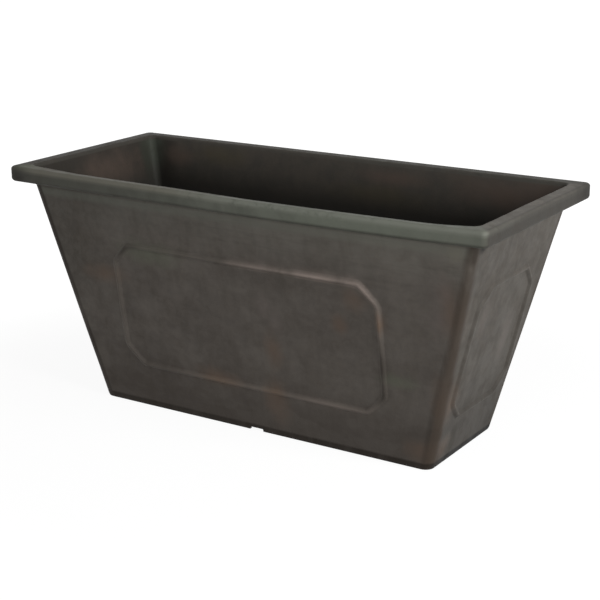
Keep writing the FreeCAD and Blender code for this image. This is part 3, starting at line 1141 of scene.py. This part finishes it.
def antiqued_finish():
    """Bronze paint, dark glaze, grey-green rim and pale rubs where the glaze is worn through, with painted
    shade, painted sheen on the rim's crest and a pale film as painted reflection.
    """
    material, nodes, shader = new_material("antiqued_finish")
    x, y, _ = nodes.along_axes(nodes.here)
    mottle = nodes.group(CLOUDY, Scale=42.0, Low=0.34, High=0.68)
    streaks = nodes.group(STREAKS, Scale=70.0, Low=0.42, High=0.74)
    broken = nodes.group(STREAKS, Scale=40.0, Low=0.25, High=0.6)
    rim_mask = nodes.attribute("on_rim")
    inside_mask = nodes.attribute("inside")
    bead = nodes.attribute("bead")
    bead_foot = nodes.attribute("bead_foot")
    run = nodes.attribute("corner_run")
    end_share = nodes.ramp(run, -0.1, 0.3)
    side = nodes.less(end_share)
    on_wall = nodes.less(nodes.math("MAXIMUM", rim_mask, inside_mask))

    # Painted sheen on the rim's top: strongest at the front, weaker at the back, on the left tip and on the
    # ends
    crest_sheen_share = nodes.times(nodes.ramp(y, -0.04, -0.11, 0.12, 1.0), nodes.ramp(x, -0.296, -0.262, 0.1, 1.0))
    crest_sheen_share = nodes.times(crest_sheen_share, nodes.ramp(x, -0.15, -0.02, 0.75, 1.0), nodes.less(nodes.times(end_share, 0.8)))
    crest_wear_and_sheen = nodes.group(WORN_AND_SHEENED, Wear=nodes.attribute("crest_wear_and_sheen"), Amount=0.62, Scale=70.0)
    crest_wear_and_sheen_tone = nodes.blend((120, 117, 106), (124, 127, 117), nodes.ramp(x, -0.10, 0.02))
    brown_line = nodes.times(nodes.ramp(nodes.away(run, 0.14), 0.64, 0.2), on_wall)
    brown_share = nodes.times(nodes.vary(broken, 0.45, 0.82), nodes.ramp(x, -0.2, 0.0, 0.35, 1.0))
    shade_and_dark_line_tone = nodes.blend((36, 31, 26), (14, 13, 11), end_share)
    groove = nodes.times(bead_foot, nodes.vary(mottle, 0.1, 0.3))
    groove = nodes.times(groove, nodes.less(nodes.times(end_share, 0.85)))
    rub, rub_tone = bead_rub(nodes, bead, bead_foot)
    paint = nodes.coats(
        wall_paint(nodes, mottle, streaks, end_share),
        (inner_paint(nodes, mottle), inside_mask),
        (rim_paint(nodes, mottle, end_share), rim_mask),
        # Pale wear with painted sheen along the rim's crest
        (crest_wear_and_sheen_tone, crest_wear_and_sheen, crest_sheen_share, 0.8),
        # Painted shade on the lip's lower edge and under the rim
        ((38, 36, 31), nodes.attribute("lip_shade"), 0.6),
        # An even pale film over everything, a painted reflection of the white surroundings, a little weaker
        # inside
        ((152, 147, 140), nodes.vary(inside_mask, 0.062, 0.046)),
        ((57, 49, 42), brown_line, brown_share),
        # Painted shade at the foot, the left corners and under the end lip, and dark lines down the corners
        (shade_and_dark_line_tone, painted_shade_and_dark_lines(nodes, run, broken), on_wall),
        ((48, 42, 37), groove, nodes.ramp(x, -0.18, -0.05, 0.35, 1.0)),
        ((86, 80, 74), bead, nodes.ramp(x, -0.18, -0.04, 0.3, 0.55), side),
        # Painted shade over parts of the bead
        ((48, 44, 40), bead, nodes.patches(SHADED_BEADS), 0.8),
        (rub_tone, rub),
        ((120, 116, 106), nodes.group(DUST, Amount=0.1)),
    )
    rough = nodes.math("ADD", nodes.times(mottle, 0.5), nodes.times(streaks, 0.5))
    finish_surface(nodes, shader, paint, nodes.vary(rough, 0.56, 0.72), gloss=0.12,
                   grain=420.0, pits=0.35, strength=0.35, depth=0.0004)
    return material


def bare_moulding():
    """Underside as it left the mould: plain dark plastic with a fine grain."""
    material, nodes, shader = new_material("bare_moulding")
    clouds = nodes.group(CLOUDY, Scale=20.0, Low=0.35, High=0.65)
    scuffs = nodes.group(STREAKS, Scale=120.0, Low=0.6, High=0.8)
    colour = nodes.coats(nodes.blend((52, 49, 46), (62, 58, 54), clouds), ((84, 80, 75), scuffs, 0.4))
    finish_surface(nodes, shader, colour, nodes.vary(clouds, 0.5, 0.62), gloss=0.4,
                   grain=500.0, pits=0.2, strength=0.3, depth=0.0003)
    return material


def plug_rubber():
    """Matt black rubber with pale dust on its upper faces."""
    material, nodes, shader = new_material("plug_rubber")
    clouds = nodes.group(CLOUDY, Scale=120.0, Low=0.3, High=0.7)
    dust = nodes.group(DUST, Amount=0.4)
    colour = nodes.coats(nodes.blend((34, 34, 34), (44, 43, 42), clouds), ((110, 106, 98), dust))
    finish_surface(nodes, shader, colour, nodes.vary(clouds, 0.62, 0.78), gloss=0.4,
                   grain=900.0, pits=0.3, strength=0.3, depth=0.0002)
    return material


# The object

def dress_planter():
    """Puts the pieces on their bodies with their materials."""
    finish = antiqued_finish()
    bare = bare_moulding()
    rubber = plug_rubber()
    body = moulded_body()
    body.data.materials.append(finish)
    body.data.materials.append(bare)
    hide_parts("planter_body")
    for piece, material in ((body, None), (rim_webs(), finish), (floor_ribs(), bare)):
        if material:
            piece.data.materials.append(material)
        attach(piece, "body")
    for number, x in enumerate(DRAIN_X, start=1):
        plug = drain_plug(number, x)
        plug.data.materials.append(rubber)
        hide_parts("drain_plug_" + str(number))
        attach(plug, "plug_" + str(number))


# The studio

WHITE = (1, 1, 1, 1)
FILL_LIGHT = 0.16
LAMP_AIM = (0, 0, 0.15)
FLOOR_RADIUS = 12.0
FLOOR_DROP = 0.0002

# The camera's turn round the object, its height above it and its roll, then its place as shares
# of the rim's length to the right, up and back, and its lens in millimetres
CAMERA_TURNS_DEG = (32.90, 16.75, -0.43)
CAMERA_PLACE = (0.0154, 0.2122, 2.796)
CAMERA_LENS = 86.99


def background_factor(nodes):
    """1 for rays from the camera, from gloss and through glass, which all see white."""
    path = nodes.add("LightPath")
    seen = nodes.math("MAXIMUM", path.outputs["Is Camera Ray"], path.outputs["Is Glossy Ray"])
    return nodes.math("MAXIMUM", seen, path.outputs["Is Transmission Ray"])


def show_mixed(nodes, output, share, first, second):
    """Feeds an output node with two shaders mixed by a share."""
    both = nodes.add("MixShader")
    for socket, value in zip(both.inputs, (share, first.outputs[0], second.outputs[0])):
        nodes.feed(socket, value)
    nodes.feed(nodes.add(output).inputs["Surface"], both.outputs[0])


def studio_world():
    """Weak even light on the object, and plain white behind it."""
    world = bpy.data.worlds.new("studio")
    bpy.context.scene.world = world
    world.use_nodes = True
    world.node_tree.nodes.clear()
    nodes = Nodes(world.node_tree)
    fill = nodes.add("Background", Color=WHITE, Strength=FILL_LIGHT)
    white = nodes.add("Background", Color=WHITE, Strength=1.0)
    show_mixed(nodes, "OutputWorld", background_factor(nodes), fill, white)


def studio_floor():
    """Wide pale floor. It keeps the object's shadow and turns to plain white further off."""
    built = bmesh.new()
    bmesh.ops.create_circle(built, cap_ends=True, segments=64, radius=FLOOR_RADIUS)
    data = bpy.data.meshes.new("studio_floor")
    built.to_mesh(data)
    built.free()
    floor = in_scene("studio_floor", data)
    floor.location.z = -FLOOR_DROP

    material = bpy.data.materials.new("studio_floor")
    material.use_nodes = True
    material.node_tree.nodes.clear()
    nodes = Nodes(material.node_tree)
    seen = background_factor(nodes)
    lit = nodes.add("BsdfDiffuse", Color=nodes.mix((0.3, 0.3, 0.3, 1), (0.9, 0.9, 0.9, 1), seen))
    white = nodes.add("Emission", Color=WHITE, Strength=1.1)
    away = nodes.vector("LENGTH", nodes.find_place())
    plain = nodes.ramp(away, 0.35, 0.9, 0.84, 1.0)
    show_mixed(nodes, "OutputMaterial", nodes.times(plain, seen), lit, white)
    data.materials.append(material)


def softbox(name, place, width, tall, power):
    """Rectangular soft lamp at a place, turned to the object's middle."""
    data = bpy.data.lights.new(name, "AREA")
    data.shape = "RECTANGLE"
    data.size = width
    data.size_y = tall
    data.energy = power
    lamp = in_scene(name, data)
    lamp.location = place
    lamp.rotation_euler = (Vector(LAMP_AIM) - Vector(place)).to_track_quat("-Z", "Y").to_euler()


def photo_camera():
    """Camera at the photograph's viewing angle, distance and lens."""
    azimuth, elevation, roll = (math.radians(angle) for angle in CAMERA_TURNS_DEG)
    level = math.cos(elevation)
    back = Vector((math.sin(azimuth) * level, -math.cos(azimuth) * level, math.sin(elevation)))
    right = Vector((math.cos(azimuth), math.sin(azimuth), 0))
    up = back.cross(right)
    right_share, up_share, back_share = CAMERA_PLACE
    place = RIM_LENGTH * MM * (right_share * right + up_share * up + back_share * back)
    x_axis = math.cos(roll) * right + math.sin(roll) * up
    y_axis = -math.sin(roll) * right + math.cos(roll) * up
    data = bpy.data.cameras.new("photo_camera")
    data.sensor_width = 36.0
    data.lens = CAMERA_LENS
    camera = in_scene("photo_camera", data)
    turn = Matrix((x_axis, y_axis, back)).transposed().to_4x4()
    camera.matrix_world = Matrix.Translation(place) @ turn
    bpy.context.scene.camera = camera


dress_planter()
studio_world()
studio_floor()
softbox("right_softbox", (2.3, -0.25, 0.85), width=1.2, tall=1.2, power=55.0)
softbox("front_softbox", (-0.1, -2.8, 0.55), width=2.0, tall=0.7, power=30.0)
photo_camera()
bpy.context.scene.view_settings.view_transform = "Standard"
